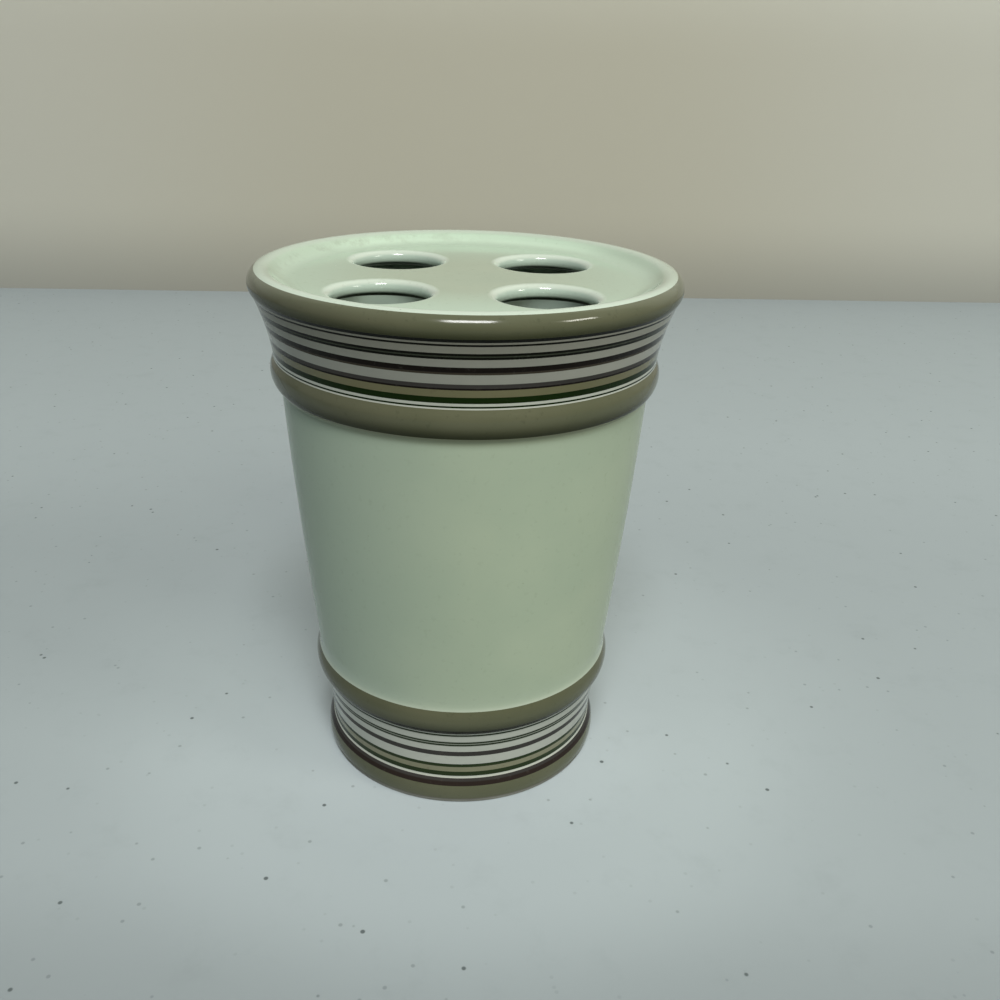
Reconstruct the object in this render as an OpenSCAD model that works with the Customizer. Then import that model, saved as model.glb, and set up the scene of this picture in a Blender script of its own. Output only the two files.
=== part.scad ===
// Ceramic toothbrush holder: a cast tumbler with a dished, perforated top plate.
// The clay is coated with coloured glazes, and two printed bands of stripes run round it.
// Every coat follows one outline, the glazed outside, so it always fits the clay below it.
// The holder stands on the table at z = 0, with its axis on Z.

/* [Foot] */
// Radius at the waist, where the rolled foot ends
waist_r = 31.65; // [28:0.05:36]
// How far outside the waist the foot stands on the table
foot_spread = 0.65; // [0:0.05:3]
// Height of the rolled foot
foot_h = 6.5; // [5:0.1:9]
// How far the rolled foot stands out past the straight line up its side
foot_swell = 0.9; // [0.3:0.05:1.2]
// Height of the bare clay line under the foot's glaze
foot_bare_h = 1.4; // [0.8:0.1:2]
// How far the lower printed band runs down over the foot
foot_print_lap = 1.8; // [0.5:0.1:2.5]
// Width of the flat ring that touches the table
foot_ring_w = 4.5; // [3:0.1:7]
// Depth of the hollow under the base
base_hollow = 2.6; // [2.4:0.1:4]
// Radius in the corner of the hollow under the base
base_corner_r = 0.9; // [0.6:0.1:0.9]

/* [Lower band and bead] */
// Height of the lower printed neck
lower_neck_h = 13.0; // [8:0.1:20]
// How far the lower neck is hollowed
lower_neck_dip = 0.2; // [0.05:0.05:0.6]
// How much the lower neck widens from the waist up to the bead
lower_neck_flare = 1.6; // [0:0.05:4]
// Height of the lower bead
bead_h = 6.6; // [4:0.1:9]
// How far the lower bead stands out
bead_swell = 1.25; // [0.5:0.05:1.8]
// How much wider the wall starts above the bead than the neck ends below it
bead_step = 0.8; // [0:0.05:2]

/* [Wall and collar] */
// Height of the plain wall
wall_h = 63.35; // [35:0.05:95]
// How far the wall swells out past a straight taper
wall_swell = 0.35; // [0.1:0.05:2]
// Height of the cove where the wall's foot runs out onto the lower bead
cove_h = 2.6; // [1:0.1:6]
// How far the cove flares out at its foot
cove_flare = 0.3; // [0.1:0.05:1]
// How far the cove is hollowed
cove_dip = 0.09; // [0.03:0.01:0.3]
// Height of the collar bead
collar_h = 6.7; // [5:0.05:10]
// How far the collar bead stands out
collar_swell = 1.4; // [0.5:0.05:2]
// How much wider the upper neck starts above the collar than the wall ends below it
collar_step = 1.2; // [0:0.05:3]
// How far up the collar its dark glaze starts
collar_glaze_lift = 0.95; // [0.5:0.05:2.4]

/* [Upper neck and rim] */
// Radius at the upper neck, over the collar
neck_r = 40.6; // [35:0.1:46]
// Height of the flared and printed upper neck
upper_neck_h = 13.3; // [8:0.1:20]
// How far the upper neck is hollowed
upper_neck_dip = 0.5; // [0.1:0.05:1.2]
// How far the top of the rim lies outside the start of the upper neck
rim_flare = 1.5; // [0.5:0.05:4]
// Radius of the rim's roll
rim_roll_r = 2.86; // [2.2:0.01:3.4]
// How far the roll turns under, past its widest point, in degrees
rim_tuck = 44; // [20:1:55]
// Angle up the roll at which the dark rim glaze ends, in degrees
rim_glaze_turn = 62; // [50:1:80]
// How far the upper printed band runs up onto the roll
rim_print_lap = 0.55; // [0.2:0.05:1]

/* [Dished top] */
// Depth of the dish below the rim
dish_deep = 2.7; // [2:0.1:4]
// Width of the slope from the top of the rim down to the floor of the dish
dish_slope_w = 6.5; // [5:0.1:8]
// Thickness of the perforated plate, glaze and all
plate_t = 3.4; // [2.6:0.1:4]
// How far inside the top of the rim the plate's bedded edge lies
plate_inset = 1.5; // [1:0.1:2.5]
// Width of the ledge in the rim that the plate is bedded on
ledge_w = 2.4; // [1:0.1:4]

/* [Holes] */
// Number of brush holes
hole_count = 4; // [2:1:5]
// Flat left between the rolled edges of two neighbouring holes
hole_web = 9.6; // [5:0.1:16]
// Flat left between the rolled edge of a hole and the slope of the dish
hole_margin = 1.3; // [0.5:0.1:5]

/* [Inside] */
// Thickness of the side wall, glaze and all
wall_t = 4.6; // [3:0.1:6]
// Thickness of the floor over the hollow base, glaze and all
floor_t = 4.8; // [3:0.1:8]
// Radius in the corner between the floor and the wall
floor_corner_r = 7; // [4:0.1:12]

/* [Glaze] */
// Thickness of every coat of glaze
glaze_t = 0.4; // [0.2:0.05:0.5]

/* [Hidden] */
$fn = 96;

// Overrun of a cut past the face that it opens
cut = 1;
// Straight steps along the outline of a bead, of the tall wall and of a small corner
bead_steps = 10;
wall_steps = 12;
neck_steps = 7;
roll_steps = 18;
cove_steps = 5;
corner_steps = 6;

// Printing inks
green_ink = 0;
plum_ink = 1;
tan_ink = 2;

// Stripes from the bottom of a band to its top: low edge, high edge, ink
lower_line_shares = [
    [0, 0.107, plum_ink],
    [0.144, 0.228, green_ink],
    [0.228, 0.32, tan_ink],
    [0.32, 0.38, green_ink],
    [0.543, 0.632, plum_ink],
    [0.749, 0.778, green_ink],
    [0.797, 0.826, green_ink],
    [0.948, 0.977, green_ink]
];
upper_line_shares = [
    [0.022, 0.047, green_ink],
    [0.087, 0.174, green_ink],
    [0.174, 0.276, tan_ink],
    [0.276, 0.359, plum_ink],
    [0.495, 0.6, plum_ink],
    [0.711, 0.744, green_ink],
    [0.763, 0.797, green_ink],
    [0.897, 0.926, green_ink],
    [0.954, 1, green_ink]
];

// Radii up the side, each set from the waist or from the upper neck
foot_stand_r = waist_r + foot_spread;
bead_low_r = waist_r + lower_neck_flare;
wall_low_r = bead_low_r + bead_step;
wall_high_r = neck_r - collar_step;
crest_r = neck_r + rim_flare;

// Radii of the dish, and of the plate and its ledge, set in from the top of the rim
dish_floor_r = crest_r - dish_slope_w;
plate_edge_r = crest_r - plate_inset;
mouth_r = plate_edge_r - ledge_w;

// Radius of the wall where the cove ends
cove_top_r = wall_low_r + (wall_high_r - wall_low_r) * cove_h / wall_h;

// Heights of the forms, each stacked on the one below
bead_z = foot_h + lower_neck_h;
wall_z = bead_z + bead_h;
collar_z = wall_z + wall_h;
neck_z = collar_z + collar_h;
roll_z = neck_z + upper_neck_h + rim_roll_r * sin(rim_tuck);
crest_z = roll_z + rim_roll_r;
dish_z = crest_z - dish_deep;
plate_low_z = dish_z - plate_t;
floor_z = base_hollow + floor_t;

// Heights at which one colour gives way to the next
lower_print_z = foot_h - foot_print_lap;
collar_glaze_z = collar_z + collar_glaze_lift;
rim_glaze_z = neck_z + upper_neck_h + rim_print_lap;
rim_line_z = roll_z + rim_roll_r * sin(rim_glaze_turn);

// Unit normal on the right of the way from a to b
function right_of(a, b) =
    let (way = (b - a) / norm(b - a))
    [way.y, -way.x];

// Circular arc from a to b without its last point, standing out to the right by rise
function bowed(a, b, rise, steps) =
    let (half = norm(b - a) / 2)
    let (radius = (half * half + rise * rise) / (2 * abs(rise)))
    let (spread = asin(half / radius))
    let (out = right_of(a, b) * sign(rise))
    let (along = (b - a) / (2 * half))
    [for (k = [0:steps - 1])
        let (turn = spread * (2 * k / steps - 1))
        (a + b) / 2 + along * radius * sin(turn) + out * radius * (cos(turn) - cos(spread))];

// Arc of a known centre, radius and pair of angles, both ends included
function swept(centre, radius, from, to, steps) =
    [for (k = [0:steps])
        let (turn = from + (to - from) * k / steps)
        centre + radius * [cos(turn), sin(turn)]];

// Mitred step to the right at one point of an outline, one unit deep
function mitre(points, i) =
    let (last = len(points) - 1)
    let (before = right_of(points[max(i - 1, 0)], points[max(i, 1)]))
    let (after = right_of(points[min(i, last - 1)], points[min(i + 1, last)]))
    (before + after) / (1 + before * after);

// Outline moved to its left by depth
function sunk(points, depth) =
    [for (i = [0:len(points) - 1]) points[i] - depth * mitre(points, i)];

function backwards(points) = [for (i = [len(points) - 1:-1:0]) points[i]];

// Point at a fractional place along an outline
function point_at(points, place) =
    let (i = min(floor(place), len(points) - 2))
    points[i] + (place - i) * (points[i + 1] - points[i]);

// Piece of an outline between two fractional places
function stretch(points, from, to) =
    concat([point_at(points, from)],
        [for (i = [floor(from) + 1:1:ceil(to) - 1]) points[i]],
        [point_at(points, to)]);

// Glazed outline of the side, from the table to the start of the rim's roll
side_outline = concat(
    bowed([foot_stand_r, 0], [waist_r, foot_h], foot_swell, bead_steps),
    bowed([waist_r, foot_h], [bead_low_r, bead_z], -lower_neck_dip, neck_steps),
    bowed([bead_low_r, bead_z], [wall_low_r + cove_flare, wall_z], bead_swell, bead_steps),
    bowed([wall_low_r + cove_flare, wall_z], [cove_top_r, wall_z + cove_h], -cove_dip, cove_steps),
    bowed([cove_top_r, wall_z + cove_h], [wall_high_r, collar_z], wall_swell, wall_steps),
    bowed([wall_high_r, collar_z], [neck_r, neck_z], collar_swell, bead_steps),
    bowed([neck_r, neck_z], [crest_r + rim_roll_r * cos(rim_tuck), neck_z + upper_neck_h],
        -upper_neck_dip, neck_steps)
);

// The roll of the rim turns smoothly into the wall of the dish, and that into the floor
dish_turn = 2 * atan(dish_deep / (crest_r - dish_floor_r));
dish_bend_r = (crest_r - dish_floor_r) / sin(dish_turn) - rim_roll_r;
roll_outline = swept([crest_r, roll_z], rim_roll_r, -rim_tuck, 90 + dish_turn, roll_steps);
dish_outline = swept([dish_floor_r, dish_z + dish_bend_r], dish_bend_r,
    dish_turn - 90, -90, corner_steps);

// Whole glazed outline, from the table up the side, over the rim and in to the axis
skin = concat(side_outline, roll_outline, [for (i = [1:corner_steps]) dish_outline[i]], [[0, dish_z]]);
clay_skin = sunk(skin, glaze_t);
axis_place = len(skin) - 1;
crest_place = len(side_outline) + floor(roll_steps * (rim_tuck + 90) / (rim_tuck + 90 + dish_turn));

// Place along the outline at a height on the outside, or at a radius on the clay of the dish
function side_place(z) = lookup(z, [for (i = [0:crest_place]) [skin[i].y, i]]);
function dish_place(r) = lookup(r, [for (i = [crest_place:axis_place]) [clay_skin[i].x, i]]);

// Glazed outline of the well, from the middle of its floor up the wall to the plate and in
well_low_r = waist_r - wall_t;
well_outline = concat(
    [[0, floor_z]],
    swept([well_low_r - floor_corner_r, floor_z + floor_corner_r], floor_corner_r, -90, 0,
        corner_steps),
    bowed([wall_low_r - wall_t, wall_z], [wall_high_r - wall_t, collar_z], wall_swell, wall_steps),
    [[wall_high_r - wall_t, collar_z], [mouth_r, plate_low_z], [0, plate_low_z]]
);
// The clay lies outside the well, on the right of its outline
clay_well = sunk(well_outline, -glaze_t);
mouth_place = len(well_outline) - 2;

// Glazed outline of the hollow base, from the axis to the bare ring
ring_in_r = foot_stand_r - foot_ring_w;
base_outline = concat(
    [[0, base_hollow]],
    backwards(swept([ring_in_r - base_corner_r, base_hollow - base_corner_r], base_corner_r,
        0, 90, corner_steps)),
    [[ring_in_r, foot_bare_h]]
);
clay_base = sunk(base_outline, glaze_t);

// Brush holes as wide as the dish allows: their rolled edges leave the named web and margin
nose_r = plate_t / 2;
hole_turn = 180 / hole_count;
hole_reach = dish_floor_r - hole_margin;
hole_edge_r = (2 * hole_reach * sin(hole_turn) - hole_web) / (2 + 2 * sin(hole_turn));
hole_pitch_r = hole_reach - hole_edge_r;

// Centre of a hole's half-round nose, in the hole's own section
nose_centre = [hole_edge_r, dish_z - nose_r];

module lathe(points) {
    rotate_extrude() polygon(points);
}

// Coat of glaze on the outside between two heights
module coat(low_z, high_z) {
    low = side_place(low_z);
    high = side_place(high_z);
    lathe(concat(stretch(skin, low, high), backwards(stretch(clay_skin, low, high))));
}

module at_holes() {
    for (i = [0:hole_count - 1]) {
        rotate([0, 0, 360 / hole_count * (i + 1 / 2)]) translate([hole_pitch_r, 0, 0]) children();
    }
}

// Cuts for the brush holes that leave a rolled edge of this radius round each
module rolled_holes(radius) {
    at_holes() lathe(concat(
        [[0, crest_z], [nose_centre.x, crest_z]],
        swept(nose_centre, radius, 90, 270, 2 * corner_steps),
        [[nose_centre.x, plate_low_z - cut], [0, plate_low_z - cut]]
    ));
}

// Stripes of one ink in a band
module stripes(low_z, high_z, line_shares, ink) {
    for (line = line_shares) {
        if (line[2] == ink) {
            coat(low_z + (high_z - low_z) * line[0], low_z + (high_z - low_z) * line[1]);
        }
    }
}

// Pale glaze that shows between the stripes of a band
module band_ground(low_z, high_z, line_shares) {
    for (i = [0:len(line_shares)]) {
        low = i == 0 ? 0 : line_shares[i - 1][1];
        high = i == len(line_shares) ? 1 : line_shares[i][0];
        if (high > low) {
            coat(low_z + (high_z - low_z) * low, low_z + (high_z - low_z) * high);
        }
    }
}

module lower_stripes(ink) {
    stripes(lower_print_z, bead_z, lower_line_shares, ink);
}

module upper_stripes(ink) {
    stripes(neck_z, rim_glaze_z, upper_line_shares, ink);
}

// Cast tumbler with its bare foot ring, and a ledge in the rim for the plate
module clay_body() {
    bare = side_place(foot_bare_h);
    edge = dish_place(plate_edge_r);
    color("antiquewhite") lathe(concat(
        clay_base,
        [[ring_in_r, foot_bare_h], [ring_in_r, 0]],
        stretch(skin, 0, bare),
        stretch(clay_skin, bare, edge),
        [[plate_edge_r, clay_well[mouth_place].y]],
        backwards([for (i = [0:mouth_place]) clay_well[i]])
    ));
}

// Dished disc of clay with rolled holes, bedded in the rim
module top_plate() {
    color("wheat") difference() {
        lathe(concat(
            stretch(clay_skin, dish_place(plate_edge_r), axis_place),
            [[0, clay_well[mouth_place].y], [plate_edge_r, clay_well[mouth_place].y]]
        ));
        rolled_holes(nose_r - glaze_t);
    }
}

// Glaze inside the well, under the plate and up to the middle of each hole
module well_glaze() {
    color("darkseagreen") difference() {
        lathe(concat(
            well_outline,
            [[0, nose_centre.y], [hole_reach, nose_centre.y]],
            [[hole_reach, clay_well[mouth_place].y]],
            backwards([for (i = [0:mouth_place]) clay_well[i]])
        ));
        top_plate();
        rolled_holes(nose_r);
    }
}

// Glaze over the dish, from the rim's colour line down into the holes
module dish_glaze() {
    line = side_place(rim_line_z);
    color("darkseagreen") difference() {
        lathe(concat(
            stretch(skin, line, axis_place),
            [[0, nose_centre.y], [hole_reach, nose_centre.y]],
            backwards(stretch(clay_skin, line, dish_place(hole_reach)))
        ));
        top_plate();
        rolled_holes(nose_r);
    }
}

module rim_glaze() {
    color("darkolivegreen") coat(rim_glaze_z, rim_line_z);
}

module upper_band_ground() {
    color("lightgray") band_ground(neck_z, rim_glaze_z, upper_line_shares);
}

module upper_green_lines() {
    color("darkgreen") upper_stripes(green_ink);
}

module upper_plum_lines() {
    color("indigo") upper_stripes(plum_ink);
}

module upper_tan_line() {
    color("tan") upper_stripes(tan_ink);
}

module collar_glaze() {
    color("darkolivegreen") coat(collar_glaze_z, neck_z);
}

module wall_glaze() {
    color("darkseagreen") coat(wall_z, collar_glaze_z);
}

module lower_bead_glaze() {
    color("darkolivegreen") coat(bead_z, wall_z);
}

module lower_band_ground() {
    color("lightgray") band_ground(lower_print_z, bead_z, lower_line_shares);
}

module lower_green_lines() {
    color("darkgreen") lower_stripes(green_ink);
}

module lower_plum_lines() {
    color("indigo") lower_stripes(plum_ink);
}

module lower_tan_line() {
    color("tan") lower_stripes(tan_ink);
}

module foot_glaze() {
    color("darkolivegreen") coat(foot_bare_h, lower_print_z);
}

// Glaze in the hollow under the base
module base_glaze() {
    color("darkseagreen") lathe(concat(base_outline, backwards(clay_base)));
}

clay_body();
top_plate();
well_glaze();
dish_glaze();
rim_glaze();
upper_band_ground();
upper_green_lines();
upper_plum_lines();
upper_tan_line();
collar_glaze();
wall_glaze();
lower_bead_glaze();
lower_band_ground();
lower_green_lines();
lower_plum_lines();
lower_tan_line();
foot_glaze();
base_glaze();
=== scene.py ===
import math

import bmesh
import bpy
import numpy as np
from mathutils import Matrix, Vector


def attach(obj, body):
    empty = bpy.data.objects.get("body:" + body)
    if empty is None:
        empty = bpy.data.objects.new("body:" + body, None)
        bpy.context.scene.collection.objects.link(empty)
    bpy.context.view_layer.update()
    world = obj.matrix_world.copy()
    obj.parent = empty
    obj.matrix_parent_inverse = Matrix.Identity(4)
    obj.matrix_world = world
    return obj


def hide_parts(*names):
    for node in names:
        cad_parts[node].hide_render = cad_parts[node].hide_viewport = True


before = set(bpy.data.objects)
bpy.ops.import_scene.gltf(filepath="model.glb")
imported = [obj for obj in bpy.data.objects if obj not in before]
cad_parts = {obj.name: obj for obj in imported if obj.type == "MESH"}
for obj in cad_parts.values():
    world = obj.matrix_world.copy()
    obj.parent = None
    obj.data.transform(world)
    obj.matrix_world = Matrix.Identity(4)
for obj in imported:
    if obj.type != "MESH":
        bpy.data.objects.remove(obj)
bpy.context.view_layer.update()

MM = 0.001

# Sizes in millimetres, as the CAD source has them: radii of the outside, and how far its bands bow
WAIST_R = 31.65
FOOT_R = WAIST_R + 0.65
FOOT_SWELL = 0.9
BEAD_LOW_R = WAIST_R + 1.6
LOWER_NECK_DIP = 0.2
BEAD_SWELL = 1.25
WALL_LOW_R = BEAD_LOW_R + 0.8
COVE_FLARE = 0.3
COVE_DIP = 0.09
WALL_SWELL = 0.35
NECK_R = 40.6
UPPER_NECK_DIP = 0.5
WALL_HIGH_R = NECK_R - 1.2
COLLAR_SWELL = 1.4
CREST_R = NECK_R + 1.5
DISH_FLOOR_R = CREST_R - 6.5
PLATE_EDGE_R = CREST_R - 1.5
MOUTH_R = PLATE_EDGE_R - 2.4

# Heights of the forms
FOOT_H = 6.5
BEAD_Z = FOOT_H + 13.0
WALL_Z = BEAD_Z + 6.6
COVE_H = 2.6
COLLAR_Z = WALL_Z + 63.35
NECK_Z = COLLAR_Z + 6.7
FLARE_Z = NECK_Z + 13.3
ROLL_R = 2.86
ROLL_TUCK = 44.0
ROLL_Z = FLARE_Z + ROLL_R * math.sin(math.radians(ROLL_TUCK))
CREST_Z = ROLL_Z + ROLL_R
DISH_DEEP = 2.7
DISH_Z = CREST_Z - DISH_DEEP
PLATE_T = 3.4
PLATE_LOW_Z = DISH_Z - PLATE_T

# Heights at which one colour gives way to the next
BARE_Z = 1.4
LOWER_PRINT_Z = FOOT_H - 1.8
COLLAR_GLAZE_Z = COLLAR_Z + 0.95
RIM_GLAZE_Z = FLARE_Z + 0.55
RIM_GLAZE_TURN = 62.0
RIM_LINE_Z = ROLL_Z + ROLL_R * math.sin(math.radians(RIM_GLAZE_TURN))

# Inside and underside
GLAZE_T = 0.4
WALL_T = 4.6
BASE_HOLLOW = 2.6
BASE_CORNER_R = 0.9
FLOOR_Z = BASE_HOLLOW + 4.8
FLOOR_CORNER_R = 7.0
RING_IN_R = FOOT_R - 4.5
RING_ARRIS = 0.35
ARRIS_TOP = RING_ARRIS * 0.7

# Brush holes, as wide as the dish allows
HOLES = 4
HOLE_WEB = 9.6
HOLE_MARGIN = 1.3
NOSE_R = PLATE_T / 2
HOLE_REACH = DISH_FLOOR_R - HOLE_MARGIN
HALF_CHORD = math.sin(math.pi / HOLES)
HOLE_EDGE_R = (2 * HOLE_REACH * HALF_CHORD - HOLE_WEB) / (2 + 2 * HALF_CHORD)
HOLE_PITCH_R = HOLE_REACH - HOLE_EDGE_R

# Level sheets of the plate's coats: their outer radius, and where they meet the roll of a hole
SHEET_R = 35.2
LEVEL_R = HOLE_EDGE_R + 0.45

# How far the dish's outline runs on past the edge of the sheets before it is cut there
RUN_ON = 6.0

# Printed bands: their heights, and their lines from the bottom up as shares of the band and an ink
BANDS = {
    "lower": (LOWER_PRINT_Z, BEAD_Z, {
        "foot_plum": (0, 0.107, "plum"),
        "low_green": (0.144, 0.228, "green"),
        "tan": (0.228, 0.32, "tan"),
        "high_green": (0.32, 0.38, "green"),
        "plum": (0.543, 0.632, "plum"),
        "pair_low": (0.749, 0.778, "green"),
        "pair_high": (0.797, 0.826, "green"),
        "top": (0.948, 0.977, "green"),
    }),
    "upper": (NECK_Z, RIM_GLAZE_Z, {
        "lowest": (0.022, 0.047, "green"),
        "broad_green": (0.087, 0.174, "green"),
        "tan": (0.174, 0.276, "tan"),
        "low_plum": (0.276, 0.359, "plum"),
        "high_plum": (0.495, 0.6, "plum"),
        "pair_low": (0.711, 0.744, "green"),
        "pair_high": (0.763, 0.797, "green"),
        "thin": (0.897, 0.926, "green"),
        "top": (0.954, 1, "green"),
    }),
}

# How far inside the CAD outline the pieces are drawn, so that none pokes out of it
SHY = 0.015

# How widely melted glaze rounds a crease, outside and in the well
MELT = 0.22
WELL_MELT = 0.3

# Fineness of the turned pieces
ROUNDS = 288
HOLE_ROUNDS = 96
FINE_STEP = 0.05
CREASE = math.radians(32)

# Points this near each other are one: on an outline, and where a mesh closes
SAME_POINT = 1e-6
SEAM = 0.002

# Radius of the circle that a section is carried round
HUB_R = 10.0


# Outlines: arrays of (radius, height) in millimetres

def bowed(start, end, rise):
    """Circular arc from start to end, standing out to the right of the way by rise."""
    start, end = np.array(start, float), np.array(end, float)
    half = np.linalg.norm(end - start) / 2
    along = (end - start) / (2 * half)
    out = np.array([along[1], -along[0]]) * np.sign(rise)
    radius = (half ** 2 + rise ** 2) / (2 * abs(rise))
    spread = math.asin(half / radius)
    turn = np.linspace(-spread, spread, max(8, int(2 * half / FINE_STEP)))[:, None]
    middle = (start + end) / 2
    return middle + along * radius * np.sin(turn) + out * radius * (np.cos(turn) - math.cos(spread))


def swept(centre, radius, start, end, steps=None):
    """Arc of a known centre between two angles in degrees."""
    arc = radius * math.radians(abs(end - start))
    turn = np.radians(np.linspace(start, end, steps or max(6, int(arc / FINE_STEP))))
    return np.array(centre) + radius * np.stack([np.cos(turn), np.sin(turn)], -1)


def softened(points, reach):
    """The outline at even fine steps, with creases rounded as melted glaze rounds them."""
    points = points[np.r_[True, np.linalg.norm(np.diff(points, axis=0), axis=1) > SAME_POINT]]
    run = np.r_[0, np.cumsum(np.linalg.norm(np.diff(points, axis=0), axis=1))]
    even = np.linspace(0, run[-1], int(run[-1] / FINE_STEP))
    line = np.stack([np.interp(even, run, points[:, i]) for i in (0, 1)], -1)
    width = int(3 * reach / FINE_STEP)
    weight = np.exp(-0.5 * (np.arange(-width, width + 1) * FINE_STEP / reach) ** 2)
    weight /= weight.sum()
    padded = np.concatenate([2 * line[0] - line[width:0:-1], line, 2 * line[-1] - line[-2:-width - 2:-1]])
    return np.stack([np.convolve(padded[:, i], weight, "valid") for i in (0, 1)], -1)


def sunk(points, depth):
    """The outline moved to its left, into the clay."""
    way = np.gradient(points, axis=0)
    way /= np.linalg.norm(way, axis=1)[:, None]
    return points - depth * np.stack([way[:, 1], -way[:, 0]], -1)


def thinned(points, turn=3.0, longest=2.5):
    """The points that the outline needs: a few on straight stretches, more on bends."""
    way = np.diff(points, axis=0)
    angle = np.unwrap(np.arctan2(way[:, 1], way[:, 0]))
    keep, bend, length = [0], angle[0], 0.0
    for i in range(1, len(points) - 1):
        length += np.linalg.norm(way[i - 1])
        if abs(angle[i] - bend) > math.radians(turn) or length > longest:
            keep.append(i)
            bend, length = angle[i], 0.0
    return points[keep + [len(points) - 1]]


dish_turn = 2 * math.degrees(math.atan(DISH_DEEP / (CREST_R - DISH_FLOOR_R)))
dish_bend_r = (CREST_R - DISH_FLOOR_R) / math.sin(math.radians(dish_turn)) - ROLL_R
cove_top = (WALL_LOW_R + (WALL_HIGH_R - WALL_LOW_R) * COVE_H / (COLLAR_Z - WALL_Z), WALL_Z + COVE_H)
roll_start = (CREST_R + ROLL_R * math.cos(math.radians(ROLL_TUCK)), FLARE_Z)

skin = sunk(softened(np.concatenate([
    bowed((FOOT_R, 0), (WAIST_R, FOOT_H), FOOT_SWELL),
    bowed((WAIST_R, FOOT_H), (BEAD_LOW_R, BEAD_Z), -LOWER_NECK_DIP),
    bowed((BEAD_LOW_R, BEAD_Z), (WALL_LOW_R + COVE_FLARE, WALL_Z), BEAD_SWELL),
    bowed((WALL_LOW_R + COVE_FLARE, WALL_Z), cove_top, -COVE_DIP),
    bowed(cove_top, (WALL_HIGH_R, COLLAR_Z), WALL_SWELL),
    bowed((WALL_HIGH_R, COLLAR_Z), (NECK_R, NECK_Z), COLLAR_SWELL),
    bowed((NECK_R, NECK_Z), roll_start, -UPPER_NECK_DIP),
    swept((CREST_R, ROLL_Z), ROLL_R, -ROLL_TUCK, 90 + dish_turn),
    swept((DISH_FLOOR_R, DISH_Z + dish_bend_r), dish_bend_r, dish_turn - 90, -90),
    [[SHEET_R - RUN_ON, DISH_Z]],
]), MELT), SHY)
skin = skin[: np.argmax((skin[:, 0] < SHEET_R) & (skin[:, 1] > FLARE_Z))]
skin = np.concatenate([skin, [[SHEET_R, DISH_Z]]])
clay_skin = sunk(skin, GLAZE_T)
crest = int(np.argmax(skin[:, 1]))


def place_at(height):
    """Where on the outside a height lies, as a fractional index of the outline."""
    return float(np.interp(height, skin[:crest, 1], np.arange(crest)))


def between(points, low, high):
    """The stretch of an outline between two fractional indices."""
    index = np.arange(len(points))
    inner = points[int(low) + 1: math.ceil(high)]
    ends = [[np.interp(at, index, points[:, i]) for i in (0, 1)] for at in (low, high)]
    return np.concatenate([[ends[0]], inner, [ends[1]]])


def coat_section(low_z, high_z):
    """Closed section of the coat on the outside between two heights."""
    low, high = place_at(low_z), place_at(high_z)
    outer = thinned(between(skin, low, high))
    inner = thinned(between(clay_skin, low, high), turn=8.0, longest=5.0)
    return np.concatenate([outer, inner[::-1], outer[:1]])


def line_edges(band, name):
    """Heights of the low and high edge of one printed line of a band."""
    low_z, high_z, lines = BANDS[band]
    return [low_z + (high_z - low_z) * share for share in lines[name][:2]]


def line_sections(band, ink):
    """Closed sections of the lines of one ink in a band, or of the ground between all lines."""
    low_z, high_z, lines = BANDS[band]
    rise = high_z - low_z
    if ink == "ground":
        edges = [0.0] + [edge for line in lines.values() for edge in line[:2]] + [1.0]
        spans = [pair for pair in zip(edges[::2], edges[1::2]) if pair[1] > pair[0]]
    else:
        spans = [line[:2] for line in lines.values() if line[2] == ink]
    return [coat_section(low_z + rise * low, low_z + rise * high) for low, high in spans]


# Turned pieces: one tree turns any section about the axis of the holder

def add_node(tree, kind, settings=None, inputs=None):
    """A node of any tree: its settings are set first, then its sockets' values or links."""
    node = tree.nodes.new(kind)
    for name, value in (settings or {}).items():
        setattr(node, name, value)
    for key, value in (inputs or {}).items():
        socket = node.inputs[key]
        if isinstance(value, bpy.types.NodeSocket):
            tree.links.new(value, socket)
        else:
            socket.default_value = value
    return node


def new_tree(name, inputs):
    """An empty geometry tree with named inputs, and its input and output nodes."""
    tree = bpy.data.node_groups.new(name, "GeometryNodeTree")
    tree.interface.new_socket("Geometry", in_out="OUTPUT", socket_type="NodeSocketGeometry")
    for label, kind in inputs:
        tree.interface.new_socket(label, in_out="INPUT", socket_type=kind)
    return tree, tree.nodes.new("NodeGroupInput").outputs, tree.nodes.new("NodeGroupOutput").inputs


def turning_tree():
    """Turns a section, drawn in X and Z, about the Z axis."""
    tree, given, result = new_tree("turning", [
        ("Section", "NodeSocketGeometry"), ("Rounds", "NodeSocketInt"), ("Hub", "NodeSocketFloat"),
    ])
    place = tree.nodes.new("GeometryNodeInputPosition").outputs[0]
    at = add_node(tree, "ShaderNodeSeparateXYZ", inputs={0: place})
    out = add_node(tree, "ShaderNodeMath", {"operation": "SUBTRACT"}, {0: at.outputs[0], 1: given["Hub"]})
    down = add_node(tree, "ShaderNodeMath", {"operation": "MULTIPLY"}, {0: at.outputs[2], 1: -1.0})
    lying = add_node(tree, "ShaderNodeCombineXYZ", inputs={0: out.outputs[0], 1: down.outputs[0]})
    laid = add_node(tree, "GeometryNodeSetPosition",
                    inputs={0: given["Section"], "Position": lying.outputs[0]})
    profile = add_node(tree, "GeometryNodeMeshToCurve", inputs={0: laid.outputs[0]})
    circle = add_node(tree, "GeometryNodeCurvePrimitiveCircle",
                      inputs={"Resolution": given["Rounds"], "Radius": given["Hub"]})
    upright = add_node(tree, "GeometryNodeSetCurveNormal", {"mode": "Z_UP"}, {0: circle.outputs[0]})
    swept_mesh = add_node(tree, "GeometryNodeCurveToMesh",
                          inputs={"Curve": upright.outputs[0], "Profile Curve": profile.outputs[0]})
    tree.links.new(swept_mesh.outputs[0], result[0])
    return tree


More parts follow.
